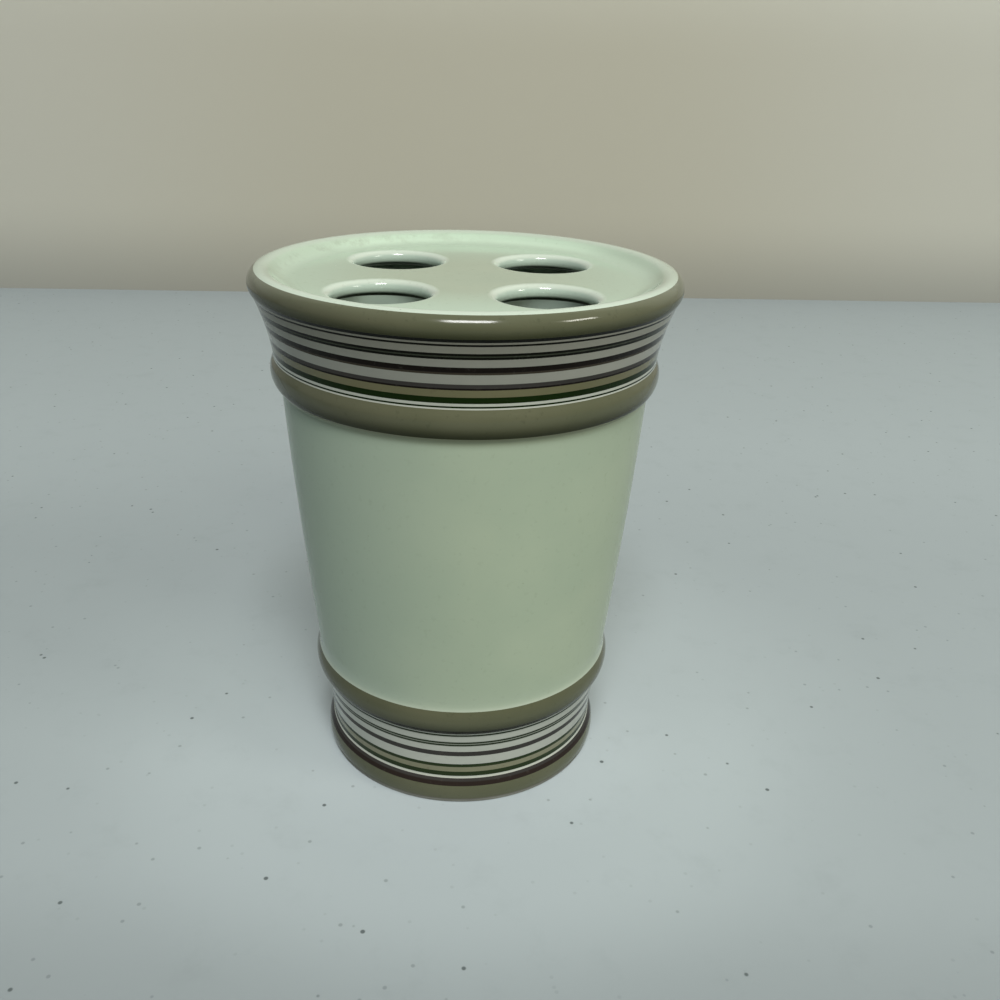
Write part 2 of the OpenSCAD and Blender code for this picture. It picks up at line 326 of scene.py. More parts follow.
def finish_tree(tree, geometry, given, result):
    """Closes the seams, keeps sharp edges sharp and gives the finish."""
    merged = add_node(tree, "GeometryNodeMergeByDistance",
                      inputs={"Geometry": geometry, "Distance": SEAM * MM})
    smooth = add_node(tree, "GeometryNodeSetShadeSmooth",
                      inputs={0: merged.outputs[0], "Shade Smooth": True})
    angle = tree.nodes.new("GeometryNodeInputMeshEdgeAngle").outputs["Unsigned Angle"]
    sharp = add_node(tree, "FunctionNodeCompare", {"data_type": "FLOAT", "operation": "GREATER_THAN"},
                     {0: angle, 1: given["Crease"]})
    kept = add_node(tree, "GeometryNodeSetShadeSmooth", {"domain": "EDGE"},
                    {0: smooth.outputs[0], "Selection": sharp.outputs[0], "Shade Smooth": False})
    real = add_node(tree, "GeometryNodeRealizeInstances", inputs={0: kept.outputs[0]})
    painted = add_node(tree, "GeometryNodeSetMaterial",
                       inputs={"Geometry": real.outputs[0], "Material": given["Finish"]})
    tree.links.new(painted.outputs[0], result[0])


def coat_tree(turning):
    """A turned piece of its own."""
    tree, given, result = new_tree("turned_piece", [
        ("Section", "NodeSocketGeometry"), ("Rounds", "NodeSocketInt"), ("Hub", "NodeSocketFloat"),
        ("Crease", "NodeSocketFloat"), ("Finish", "NodeSocketMaterial"),
    ])
    turned = add_node(tree, "GeometryNodeGroup", {"node_tree": turning},
                      {"Section": given["Section"], "Rounds": given["Rounds"], "Hub": given["Hub"]})
    finish_tree(tree, turned.outputs[0], given, result)
    return tree


def pierced_tree(turning):
    """A turned coat closed by two level sheets, with a rolled edge round each of its holes."""
    tree, given, result = new_tree("pierced_piece", [
        ("Section", "NodeSocketGeometry"), ("Rounds", "NodeSocketInt"), ("Hub", "NodeSocketFloat"),
        ("Crease", "NodeSocketFloat"), ("Finish", "NodeSocketMaterial"),
        ("Rolled Edge", "NodeSocketObject"), ("Holes", "NodeSocketInt"), ("Hole Rounds", "NodeSocketInt"),
        ("Pitch Radius", "NodeSocketFloat"), ("Sheet Radius", "NodeSocketFloat"),
        ("Opening Radius", "NodeSocketFloat"), ("Upper Height", "NodeSocketFloat"),
        ("Lower Height", "NodeSocketFloat"),
    ])
    body = add_node(tree, "GeometryNodeGroup", {"node_tree": turning},
                    {"Section": given["Section"], "Rounds": given["Rounds"], "Hub": given["Hub"]})
    edge = add_node(tree, "GeometryNodeObjectInfo", inputs={"Object": given["Rolled Edge"]})
    ring = add_node(tree, "GeometryNodeGroup", {"node_tree": turning},
                    {"Section": edge.outputs["Geometry"], "Rounds": given["Hole Rounds"],
                     "Hub": given["Hub"]})
    spots = add_node(tree, "GeometryNodeMeshCircle",
                     inputs={"Vertices": given["Holes"], "Radius": given["Pitch Radius"]})
    half = add_node(tree, "ShaderNodeMath", {"operation": "DIVIDE"}, {0: math.pi, 1: given["Holes"]})
    about = add_node(tree, "ShaderNodeCombineXYZ", inputs={2: half.outputs[0]})
    turned_spots = add_node(tree, "GeometryNodeTransform",
                            inputs={0: spots.outputs[0], "Rotation": about.outputs[0]})
    rings = add_node(tree, "GeometryNodeInstanceOnPoints",
                     inputs={"Points": turned_spots.outputs[0], "Instance": ring.outputs[0]})
    outer = add_node(tree, "GeometryNodeCurvePrimitiveCircle",
                     inputs={"Resolution": given["Rounds"], "Radius": given["Sheet Radius"]})
    opening = add_node(tree, "GeometryNodeCurvePrimitiveCircle",
                       inputs={"Resolution": given["Hole Rounds"], "Radius": given["Opening Radius"]})
    openings = add_node(tree, "GeometryNodeInstanceOnPoints",
                        inputs={"Points": turned_spots.outputs[0], "Instance": opening.outputs[0]})
    lines = tree.nodes.new("GeometryNodeJoinGeometry")
    for part in (outer.outputs[0], openings.outputs[0]):
        tree.links.new(part, lines.inputs[0])
    real_lines = add_node(tree, "GeometryNodeRealizeInstances", inputs={0: lines.outputs[0]})
    sheet = add_node(tree, "GeometryNodeFillCurve", inputs={"Curve": real_lines.outputs[0]})
    joined = tree.nodes.new("GeometryNodeJoinGeometry")
    for height in ("Upper Height", "Lower Height"):
        lift = add_node(tree, "ShaderNodeCombineXYZ", inputs={2: given[height]})
        raised = add_node(tree, "GeometryNodeTransform",
                          inputs={0: sheet.outputs[0], "Translation": lift.outputs[0]})
        tree.links.new(raised.outputs[0], joined.inputs[0])
    for part in (body.outputs[0], rings.outputs[0]):
        tree.links.new(part, joined.inputs[0])
    real = add_node(tree, "GeometryNodeRealizeInstances", inputs={0: joined.outputs[0]})
    finish_tree(tree, real.outputs[0], given, result)
    return tree


def section_object(name, sections):
    """A mesh of edges along closed or open sections given in millimetres."""
    points, edges = [], []
    for section in sections:
        first = len(points)
        closed = np.allclose(section[0], section[-1])
        run = section[:-1] if closed else section
        points += [(r * MM, 0.0, z * MM) for r, z in run]
        edges += [(first + i, first + i + 1) for i in range(len(run) - 1)]
        if closed:
            edges.append((len(points) - 1, first))
    mesh = bpy.data.meshes.new(name)
    mesh.from_pydata(points, edges, [])
    drawn = bpy.data.objects.new(name, mesh)
    bpy.context.scene.collection.objects.link(drawn)
    return drawn


def made_piece(name, tree, sections, values, replaced):
    """Runs a tree on a section and keeps the result as a plain mesh that rides on the holder."""
    drawn = section_object(name + "_section", sections)
    modifier = drawn.modifiers.new("make", "NODES")
    modifier.node_group = tree
    for item in tree.interface.items_tree:
        if item.in_out == "INPUT" and item.name in values:
            modifier[item.identifier] = values[item.name]
    evaluated = drawn.evaluated_get(bpy.context.evaluated_depsgraph_get())
    mesh = bpy.data.meshes.new_from_object(evaluated)
    bpy.data.objects.remove(drawn)
    mesh.name = name
    work = bmesh.new()
    work.from_mesh(mesh)
    bmesh.ops.recalc_face_normals(work, faces=work.faces)
    work.to_mesh(mesh)
    work.free()
    piece = bpy.data.objects.new(name, mesh)
    bpy.context.scene.collection.objects.link(piece)
    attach(piece, "root")
    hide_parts(*replaced)


# Finishes: how strongly each surface reflects, as its index of refraction

GLAZE_IOR = 1.5
OLIVE_IOR = 1.45
CLAY_IOR = 1.45
TAN_IOR = 1.4
ROOM_IOR = 1.3
INK_IOR = 1.18
DULL_IOR = 1.1

# Depth in millimetres of the waves in a glaze, the grit of the clay and the grain of the room
GLAZE_WAVE = 0.013
CLAY_GRIT = 0.05
ROOM_GRAIN = 0.01


class Wire:
    """A value in a finish's node tree, which arithmetic in Python adds nodes to."""

    def __init__(self, finish, socket):
        self.finish, self.socket = finish, socket

    def __add__(self, other):
        return self.finish.maths("ADD", self, other)

    def __radd__(self, other):
        return self.finish.maths("ADD", other, self)

    def __sub__(self, other):
        return self.finish.maths("SUBTRACT", self, other)

    def __rsub__(self, other):
        return self.finish.maths("SUBTRACT", other, self)

    def __mul__(self, other):
        return self.finish.maths("MULTIPLY", self, other)

    def __rmul__(self, other):
        return self.finish.maths("MULTIPLY", other, self)


class Finish:
    """A glaze, ink, clay or wall under construction. Its places and sizes are in millimetres."""

    def __init__(self, name):
        self.material = bpy.data.materials.new(name)
        self.material.use_nodes = True
        self.tree = self.material.node_tree
        self.tree.nodes.clear()
        self.place = self.node("ShaderNodeTexCoord", out="Object")
        self.across, self.along, self.height = (
            self.node("ShaderNodeSeparateXYZ", {}, {0: self.place}, axis) * (1 / MM) for axis in range(3))
        self.out = self.distance(self.across, self.along)

    def node(self, kind, settings=None, inputs=None, out=0):
        """Any node, as a wire from one of its outputs."""
        plain = {key: value.socket if isinstance(value, Wire) else value
                 for key, value in (inputs or {}).items()}
        made = add_node(self.tree, kind, settings, plain)
        return Wire(self, made.outputs[out])

    def maths(self, operation, *values):
        """One step of arithmetic on numbers and wires."""
        return self.node("ShaderNodeMath", {"operation": operation}, dict(enumerate(values)))

    def unsigned(self, value):
        """A value without its sign."""
        return self.maths("ABSOLUTE", value)

    def distance(self, x, y):
        """Length of the level line from 0 to x and y."""
        return self.maths("SQRT", x * x + y * y)

    def noise(self, size, detail=2.0, roughness=0.5):
        """Cloudy noise whose blotches are about this many millimetres across."""
        return self.node("ShaderNodeTexNoise", {}, {
            "Vector": self.place, "Scale": 1 / (size * MM), "Detail": detail, "Roughness": roughness,
        })

    def specks(self, spacing, size, share):
        """Round specks: 1 inside a speck and 0 outside. The share is how many of the places have one."""
        settings = {"feature": "F1"}
        inputs = {"Vector": self.place, "Scale": 1 / (spacing * MM), "Randomness": 1.0}
        far = self.node("ShaderNodeTexVoronoi", settings, inputs, "Distance")
        cell = self.node("ShaderNodeTexVoronoi", settings, inputs, "Color")
        lot = self.node("ShaderNodeSeparateColor", {}, {0: cell}, "Red")
        reach = size / spacing
        dot = self.ramp(far, reach, reach * 0.5)
        return dot * self.maths("LESS_THAN", lot, share)

    def ramp(self, value, low, high):
        """0 at low, 1 at high, with a smooth climb."""
        return self.node("ShaderNodeMapRange", {"interpolation_type": "SMOOTHSTEP"}, {
            "Value": value, "From Min": low, "From Max": high, "To Min": 0.0, "To Max": 1.0,
        })

    def window(self, low, high, soft):
        """1 between two heights and 0 outside, with soft edges."""
        rise = self.ramp(self.height, low - soft, low + soft)
        return rise * self.ramp(self.height, high + soft, high - soft)

    def tint(self, share, below, above):
        """A colour between two, by a share from 0 to 1."""
        full = [(*tone, 1.0) if isinstance(tone, tuple) else tone for tone in (below, above)]
        return self.node("ShaderNodeMix", {"data_type": "RGBA", "clamp_factor": True},
                         {0: share, 6: full[0], 7: full[1]}, 2)

    def layered(self, colour, tones, places):
        """A colour with tones laid over it in turn. Each has a share and a colour, and a place, which
        is 1 where it lies and 0 where it doesn't."""
        for name, place in places.items():
            share, tone = tones[name]
            colour = self.tint(place * share, colour, tone)
        return colour

    def done(self, colour, roughness, height, depth, ior, strength=1.0, dull=None):
        """Joins the shader up. The height is in 0 to 1, and a step of 1 is depth millimetres.
        Dull is the share of the surface that reflects hardly anything."""
        bump = self.node("ShaderNodeBump", {},
                         {"Strength": strength, "Distance": depth * MM, "Height": height})
        inputs = {"Base Color": colour, "Roughness": roughness, "Normal": bump}
        shader = self.node("ShaderNodeBsdfPrincipled", {}, {**inputs, "IOR": ior})
        if dull is not None:
            faint = self.node("ShaderNodeBsdfPrincipled", {}, {**inputs, "IOR": DULL_IOR})
            shader = self.node("ShaderNodeMixShader", {}, {0: dull, 1: shader, 2: faint})
        output = self.tree.nodes.new("ShaderNodeOutputMaterial")
        self.tree.links.new(shader.socket, output.inputs["Surface"])
        return self.material


def glaze(name, tones, thin, thick, speck, mottle, speck_share=0.3, ior=GLAZE_IOR):
    """A glossy fired glaze: soft clouds where it lies thin or thick, a fine mottle and specks. Tones is
    the function that lays this glaze's tones on it, painted light and shade among them, and says what
    share of it is dull."""
    look = Finish(name)
    clouds = look.ramp(look.noise(26, detail=3.0), 0.35, 0.65)
    drift = look.noise(6.0)
    grain = look.noise(1.3, detail=3.0, roughness=0.6)
    dots = look.specks(spacing=2.6, size=0.16, share=speck_share)
    pits = look.specks(spacing=4.1, size=0.12, share=0.25)
    colour, dull = tones(look, look.tint(clouds * 0.6 + drift * 0.4, thin, thick))
    colour = look.tint(look.ramp(grain, 0.58, 0.75) * mottle, colour, speck)
    colour = look.tint(dots * 0.55, colour, speck)
    roughness = 0.09 + clouds * 0.05 + dots * 0.15
    waves = look.noise(3.4) * 0.35 + look.noise(14, detail=1.0)
    height = waves + grain * 0.06 - pits * 0.35
    return look.done(colour, roughness, height, GLAZE_WAVE, ior, dull=dull)


# Celadon glaze: the share with which each tone covers what is under it, and its linear colour

CELADON = {
    # Painted light: the left of the wall is painted cooler, as a cool light falls there
    "cool_left_light": (0.8, (0.365, 0.452, 0.376)),
    # Painted highlight: a paler band along the cove at the wall's foot
    "cove": (0.5, (0.50, 0.555, 0.45)),
    # Darker, browner band under the collar: the olive glaze's edge lapping down, and painted shade under
    # the collar
    "collar_lap_and_shade": (0.68, (0.135, 0.108, 0.045)),
    # Painted light: the dish floor paler and greener towards its edge
    "dish": (0.9, (0.435, 0.555, 0.435)),
    # Painted light on the front of the dish floor
    "dish_front_light": (0.75, (0.51, 0.66, 0.535)),
    # Painted light on the dish's slope, as from above
    "slope": (0.85, (0.58, 0.73, 0.58)),
    # Random darker blotches, laid only on the left of the slope as painted shade
    "blotches": (0.4, (0.33, 0.37, 0.29)),
    # Painted shade on the slope's left and right
    "slope_side_shade": (0.42, (0.35, 0.42, 0.335)),
    # Painted light on the front of the slope
    "front_slope_light": (0.8, (0.70, 0.86, 0.72)),
    # Painted highlight along the crest of the rim
    "crest": (0.6, (0.52, 0.58, 0.50)),
    # Painted light in the upper well, where light comes in through the holes
    "well": (1, (0.41, 0.51, 0.43)),
    # Painted shade under the plate, round the holes' lower edges
    "under_plate_shade": (0.96, (0.008, 0.016, 0.008)),
}
# Painted light on the rolled edges of the holes: its share, and its colour low and high on the roll
ROLL_LIGHT_SHARE = 0.68
ROLL_LIGHT_LOW = (0.49, 0.62, 0.55)
ROLL_LIGHT_HIGH = (0.70, 0.78, 0.70)
CELADON_DULL = 0.8


def outer_side(look):
    """1 on the outside of the body and 0 in the well, parted half way through the leaning wall."""
    lean = (WALL_HIGH_R - WALL_LOW_R) / (COLLAR_Z - WALL_Z)
    middle_r = WALL_LOW_R - WALL_T / 2 - WALL_Z * lean
    return look.ramp(look.out - look.height * lean, middle_r - 0.5, middle_r + 0.5)


def hole_rolls(look):
    """1 on the rolled edges of the brush holes, which lie on the diagonals."""
    spot = HOLE_PITCH_R * math.sqrt(0.5)
    reach = look.distance(look.unsigned(look.across) - spot, look.unsigned(look.along) - spot)
    near = look.ramp(reach, HOLE_EDGE_R + 0.4, HOLE_EDGE_R - 1.0)
    return near * look.window(PLATE_LOW_Z, CREST_Z, soft=0.2)


def celadon_tones(look, colour):
    """The pale glaze carries painted highlights along the wall's foot, the crest of the rim and the rolled
    edges of the holes, and painted light on the dish, its slope and the upper well. It is painted cooler on
    the left as light, painted darker as shade on the slope's sides, its left and under the plate, and
    darker and browner under the collar, where the olive glaze laps down and shade falls."""
    outside = outer_side(look)
    top = look.window(DISH_Z - 0.3, CREST_Z + 1, soft=0.2)
    slope = look.window(DISH_Z + 0.45, CREST_Z - 0.5, soft=0.55)
    blotches = look.ramp(look.noise(5.0, detail=4.0, roughness=0.7), 0.46, 0.66)
    colour = look.layered(colour, CELADON, {
        "cool_left_light": look.ramp(look.across, 8, -34) * outside,
        "cove": look.window(WALL_Z - 1, WALL_Z + 0.7, soft=0.6) * outside,
        "collar_lap_and_shade": look.window(COLLAR_GLAZE_Z - 1.1, COLLAR_GLAZE_Z + 1, soft=1.2) * outside,
        "dish": top * look.ramp(look.out, 10, 36),
        "dish_front_light": top * look.ramp(look.along, -12, -36),
        "slope": slope,
        "blotches": blotches * look.ramp(look.across, 20, -30) * slope,
        "slope_side_shade": slope * look.ramp(look.unsigned(look.across), 23, 36),
        "front_slope_light": look.window(DISH_Z + 0.25, CREST_Z + 1, soft=0.3) * look.ramp(look.along, -12, -34),
        "crest": look.window(CREST_Z - 0.5, CREST_Z + 1, soft=0.35),
    })
    # Painted light on the rolled edges of the holes
    roll_light = look.tint(look.ramp(look.height, DISH_Z - 1.1, DISH_Z - 0.4), ROLL_LIGHT_LOW, ROLL_LIGHT_HIGH)
    colour = look.tint(hole_rolls(look) * ROLL_LIGHT_SHARE, colour, roll_light)
    colour = look.layered(colour, CELADON, {
        "well": look.window(COLLAR_GLAZE_Z - 8, PLATE_LOW_Z - 0.6, soft=0.3) * (1 - outside),
        "under_plate_shade": look.window(PLATE_LOW_Z - 0.4, DISH_Z - NOSE_R - 0.7, soft=0.3),
    })
    high_wall = look.window(WALL_Z + 3, COLLAR_GLAZE_Z + 1, soft=2.0) * outside
    return colour, high_wall * CELADON_DULL


celadon = glaze("celadon_glaze", celadon_tones, thin=(0.405, 0.475, 0.358), thick=(0.365, 0.44, 0.334),
                speck=(0.22, 0.26, 0.18), mottle=0.16)

# Olive glaze, and the painted shade along its undersides: a coat's lower edge, and the reach,
# softness and strength of the shade

OLIVE = {
    # Painted shade on the left side
    "shaded_left_side": (0.4, (0.045, 0.050, 0.028)),
    # Painted shade along the undersides of the beads, the collar and the rim
    "run": (0.85, (0.018, 0.019, 0.002)),
    # Painted highlight along the top of the collar
    "collar_top_light": (0.12, (0.185, 0.188, 0.118)),
    # Painted highlight: a glow round the highlight on the rim's roll
    "rim_highlight_glow": (0.3, (0.205, 0.225, 0.150)),
    # Painted shade in the crease at the lower bead's lower edge
    "bead_crease_shade": (0.93, (0.004, 0.004, 0.002)),
}
OLIVE_DULL = 0.9
SHADE_BELOW = 3
UNDERSIDE_SHADES = [(BEAD_Z, 2.4, 2.1, 1.0), (COLLAR_GLAZE_Z, 1.5, 1.7, 1.0), (RIM_GLAZE_Z, 1.1, 1.4, 0.8)]


def olive_tones(look, colour):
    """Painted shade along the lower edges of the beads, the collar and the rim and on the left side,
    and painted highlights along the collar's top and round the rim's highlight.
    """
    # Painted shade along the undersides, which also dulls their reflection
    run = sum(look.window(edge - SHADE_BELOW, edge + reach, soft) * strength
              for edge, reach, soft, strength in UNDERSIDE_SHADES)
    colour = look.layered(colour, OLIVE, {
        "shaded_left_side": look.ramp(look.across, 2, -36),
        "run": run,
        "collar_top_light": look.window(NECK_Z - 1.7, NECK_Z + 1, soft=1.2),
        "rim_highlight_glow": look.window(RIM_GLAZE_Z + 3.2, RIM_LINE_Z + 2, soft=1.3),
        "bead_crease_shade": look.window(BEAD_Z - 1, BEAD_Z + 1.6, soft=0.6),
    })
    return colour, run * OLIVE_DULL


olive = glaze("olive_glaze", olive_tones, thin=(0.106, 0.108, 0.062), thick=(0.084, 0.090, 0.048),
              speck=(0.045, 0.05, 0.026), mottle=0.3, ior=OLIVE_IOR)

# Printed edges: how crisp they are, how far thin lines bled, and how far a tone laps over its line

CRISP = 0.05
BLEED_W = 0.16
GAP_LAP = 0.1
OVER_LINE = 0.3

# Pale ground of the printed bands

# Painted shade: the upper band's ground is painted greyer, as it lies in the rim's shade
SHADED_GROUND_TONES = (0.298, 0.300, 0.258), (0.262, 0.268, 0.235)
SHADED_GROUND = {
    # Painted shade, deeper towards the rim
    "high": (1, (0.235, 0.228, 0.190)),
    # Painted light on the right side
    "lit_right_side": (0.35, (0.40, 0.40, 0.35)),
}
GROUND = {
    # Painted shade towards the left and right
    "shaded_sides": (0.22, (0.20, 0.21, 0.18)),
    "white": (1, (0.475, 0.495, 0.435)),
    "upper_gap": (0.92, (0.014, 0.020, 0.008)),
    "lower_gap": (0.3, (0.06, 0.075, 0.045)),
    "bled": (0.42, (0.06, 0.075, 0.045)),
}
GROUND_DULL = 0.7


def ground_tones(look, colour):
    """White under the broad green line and over the foot's plum line, and dark between the paired lines and
    along the thin ones of the lower band, where the ink bled. The upper band is painted greyer as the rim's
    shade, deeper towards the rim and lighter on its right side as painted light; both sides are painted
    darker as shade."""
    shaded_ground = look.layered(look.tint(look.noise(5.0), *SHADED_GROUND_TONES), SHADED_GROUND, {
        "high": look.ramp(look.height, NECK_Z + 6, RIM_GLAZE_Z + 1),
        "lit_right_side": look.ramp(look.across, 10, 38),
    })
    colour = look.layered(colour, GROUND, {"shaded_sides": look.ramp(look.unsigned(look.across), 12, 32)})
    colour = look.tint(look.window(NECK_Z, RIM_GLAZE_Z + 1, soft=0.1), colour, shaded_ground)
    under_green = look.window(NECK_Z - 1, line_edges("upper", "broad_green")[0], CRISP)
    over_foot = look.window(line_edges("lower", "foot_plum")[1], line_edges("lower", "low_green")[0], CRISP)
    gaps = {
        band + "_gap": look.window(line_edges(band, "pair_low")[1] - GAP_LAP,
                                   line_edges(band, "pair_high")[0] + GAP_LAP, CRISP)
        for band in ("upper", "lower")
    }
    colour = look.layered(colour, GROUND, {"white": under_green + over_foot, **gaps})
    for name in ("pair_low", "pair_high", "top"):
        low, high = line_edges("lower", name)
        bled = look.window(low - BLEED_W, low, CRISP) + look.window(high, high + BLEED_W, CRISP)
        colour = look.layered(colour, GROUND, {"bled": bled})
    return colour, look.window(NECK_Z + 8, RIM_GLAZE_Z + 1, soft=3.0) * GROUND_DULL


ground = glaze("pale_ground", ground_tones, thin=(0.465, 0.475, 0.425), thick=(0.415, 0.435, 0.39),
               speck=(0.27, 0.28, 0.25), mottle=0.14, speck_share=0.12)

# Inks: the tones of the green, the plum and the tan

GREEN = {
    "black": (1, (0.0035, 0.0035, 0.001)),
    "pale": (1, (0.022, 0.035, 0.013)),
}
PLUM = {
    "heavy": (1, (0.008, 0.0055, 0.004)),
    "foot": (1, (0.024, 0.017, 0.014)),
    "brown": (0.8, (0.040, 0.032, 0.020)),
}
LOWER_TAN_TONES = (0.225, 0.222, 0.142), (0.190, 0.188, 0.118)
INK_SPECKS = 0.1


def green_tones(look, colour):
    """The thin lines of the upper band came out nearly black, and the broad lower ones lie thin."""
    low, high = line_edges("lower", "low_green")[0], line_edges("lower", "high_green")[1]
    colour = look.layered(colour, GREEN, {
        "black": look.window(line_edges("upper", "pair_low")[0] - 1, RIM_GLAZE_Z + 1, soft=0.3),
        "pale": look.window(low - OVER_LINE, high + OVER_LINE, soft=0.1),
    })
    return colour, None


def plum_tones(look, colour):
    """The plum ink lies double over the upper part of the high line and the lower part of the low one,
    brown over the rest of the high line, and darker over the lower part of the foot's line."""
    low, high = line_edges("upper", "high_plum")
    under = line_edges("upper", "low_plum")[0]
    foot = line_edges("lower", "foot_plum")[0]
    heavy_high = look.window(low + 0.42, high + OVER_LINE, soft=0.06)
    heavy_low = look.window(under - OVER_LINE, under + 0.36, soft=0.06)
    colour = look.layered(colour, PLUM, {
        "heavy": heavy_high + heavy_low,
        "foot": look.window(foot - OVER_LINE, foot + 0.95, soft=0.15),
        "brown": look.window(low - OVER_LINE, low + 0.40, soft=0.06),
    })
    return colour, None


def tan_tones(look, colour):
    """The tan ink lies thinner in the lower band, so more of the pale ground shows through."""
    paler = look.tint(look.noise(3.0), *LOWER_TAN_TONES)
    return look.tint(look.window(LOWER_PRINT_Z, BEAD_Z, soft=0.1), colour, paler), None


inks = {
    "green": glaze("green_ink", green_tones, thin=(0.006, 0.018, 0.001), thick=(0.005, 0.013, 0.001),
                   speck=(0.02, 0.03, 0.01), mottle=0.2, speck_share=INK_SPECKS, ior=INK_IOR),
    "plum": glaze("plum_ink", plum_tones, thin=(0.048, 0.044, 0.041), thick=(0.036, 0.034, 0.031),
                  speck=(0.08, 0.07, 0.06), mottle=0.25, speck_share=INK_SPECKS, ior=INK_IOR),
    "tan": glaze("tan_ink", tan_tones, thin=(0.155, 0.145, 0.076), thick=(0.125, 0.122, 0.060),
                 speck=(0.08, 0.06, 0.03), mottle=0.3, speck_share=INK_SPECKS, ior=TAN_IOR),
}

# Bare clay

CLAY_TONES = (0.245, 0.245, 0.215), (0.195, 0.19, 0.17)
CLAY = {
    "grit": (0.5, (0.23, 0.22, 0.19)),
    "rubbed": (0.45, (0.21, 0.205, 0.19)),
    "glaze_line": (0.8, (0.085, 0.085, 0.055)),
}


def bare_clay():
    """Unglazed fired clay, rubbed smooth where it stands and a little stained."""
    look = Finish("bare_clay")
    clouds = look.noise(9, detail=4.0, roughness=0.6)
    grit = look.noise(0.5, detail=3.0, roughness=0.65)
    rubbed = look.ramp(look.height, 0.5, 0.0)
    colour = look.layered(look.tint(look.ramp(clouds, 0.3, 0.7), *CLAY_TONES), CLAY, {
        "grit": look.ramp(grit, 0.55, 0.75),
        "rubbed": rubbed * look.ramp(clouds, 0.45, 0.7),
        "glaze_line": look.window(BARE_Z - 0.35, BARE_Z + 0.1, soft=0.15),
    })
    return look.done(colour, 0.85 - rubbed * 0.2, grit + clouds * 0.5, CLAY_GRIT, CLAY_IOR)


clay = bare_clay()

# The turned pieces

turning = turning_tree()
turned_piece = coat_tree(turning)
pierced_piece = pierced_tree(turning)
shared = {"Rounds": ROUNDS, "Hub": HUB_R * MM, "Crease": CREASE}


def turned(name, sections, finish, replaced, slot_name):
    """A piece that is only turned, with one finish all over."""
    made_piece(name, turned_piece, sections, {**shared, "Finish": finish}, replaced)


for name, low_z, high_z, finish, slot_name in [
    ("foot_glaze", BARE_Z, LOWER_PRINT_Z, olive, "olive_glaze"),
    ("lower_bead_glaze", BEAD_Z, WALL_Z, olive, "olive_glaze"),
    ("wall_glaze", WALL_Z, COLLAR_GLAZE_Z, celadon, "celadon_glaze"),
    ("collar_glaze", COLLAR_GLAZE_Z, NECK_Z, olive, "olive_glaze"),
    ("rim_glaze", RIM_GLAZE_Z, RIM_LINE_Z, olive, "olive_glaze"),
]:
    turned(name + "_coat", [coat_section(low_z, high_z)], finish, [name], slot_name)

for band in BANDS:
    turned(band + "_ground_rings", line_sections(band, "ground"), ground,
           [band + "_band_ground"], "pale_ground")
    for ink, ending in (("green", "lines"), ("plum", "lines"), ("tan", "line")):
        turned(f"{band}_{ink}_rings", line_sections(band, ink), inks[ink],
               [f"{band}_{ink}_{ending}"], ink + "_ink")

# The hollow under the base, and the clay that shows as the foot ring

def base_outline(depth):
    """The glazed outline of the hollow under the base, or the clay behind it."""
    corner = (RING_IN_R - BASE_CORNER_R, BASE_HOLLOW - BASE_CORNER_R)
    return np.concatenate([
        [[0, BASE_HOLLOW + depth]],
        swept(corner, BASE_CORNER_R + depth, 90, 0, steps=12),
        [[RING_IN_R + depth, BARE_Z]],
    ])


base_clay = base_outline(GLAZE_T)
turned("base_glaze_coat", [np.concatenate([base_outline(0), base_clay[::-1]])], celadon,
       ["base_glaze"], "celadon_glaze")


def well_line(depth):
    """The glazed outline of the well, or the clay behind it, from its floor up to the plate."""
    corner = (WAIST_R - WALL_T - FLOOR_CORNER_R, FLOOR_Z + FLOOR_CORNER_R)
    raised = sunk(softened(np.concatenate([
        [[0, FLOOR_Z]],
        swept(corner, FLOOR_CORNER_R, -90, 0),
        bowed((WALL_LOW_R - WALL_T, WALL_Z), (WALL_HIGH_R - WALL_T, COLLAR_Z), WALL_SWELL),
        [[MOUTH_R, PLATE_LOW_Z]],
    ]), WELL_MELT), -depth)
    raised[0] = (0, FLOOR_Z - depth)
    return thinned(raised, turn=5.0, longest=4.0)


well_clay = well_line(GLAZE_T)
well_clay[-1] = (MOUTH_R + GLAZE_T, PLATE_LOW_Z + GLAZE_T)
ring_skin = between(skin, 0, place_at(BARE_Z))
foot_ring = np.concatenate([
    [[RING_IN_R + GLAZE_T, BARE_Z], [RING_IN_R, BARE_Z], [RING_IN_R, RING_ARRIS]],
    swept((RING_IN_R + RING_ARRIS, RING_ARRIS), RING_ARRIS, 190, 265, steps=6),
    swept((FOOT_R - RING_ARRIS, RING_ARRIS), RING_ARRIS, 275, 330, steps=6),
    thinned(ring_skin[ring_skin[:, 1] > ARRIS_TOP]),
])
body_clay = np.concatenate([
    base_clay, foot_ring[1:],
    thinned(between(clay_skin, place_at(BARE_Z), len(clay_skin) - 1), turn=8.0, longest=5.0),
])
plate_edge_z = float(np.interp(-PLATE_EDGE_R, -clay_skin[crest:, 0], clay_skin[crest:, 1]))
body_clay = body_clay[~((body_clay[:, 0] < PLATE_EDGE_R) & (body_clay[:, 1] > FLARE_Z))]
body_section = np.concatenate([
    body_clay, [[PLATE_EDGE_R, plate_edge_z], [PLATE_EDGE_R, PLATE_LOW_Z + GLAZE_T]], well_clay[::-1],
])
turned("clay_tumbler", [body_section], clay, ["clay_body"], "bare_clay")

# The two coats that the brush holes pierce

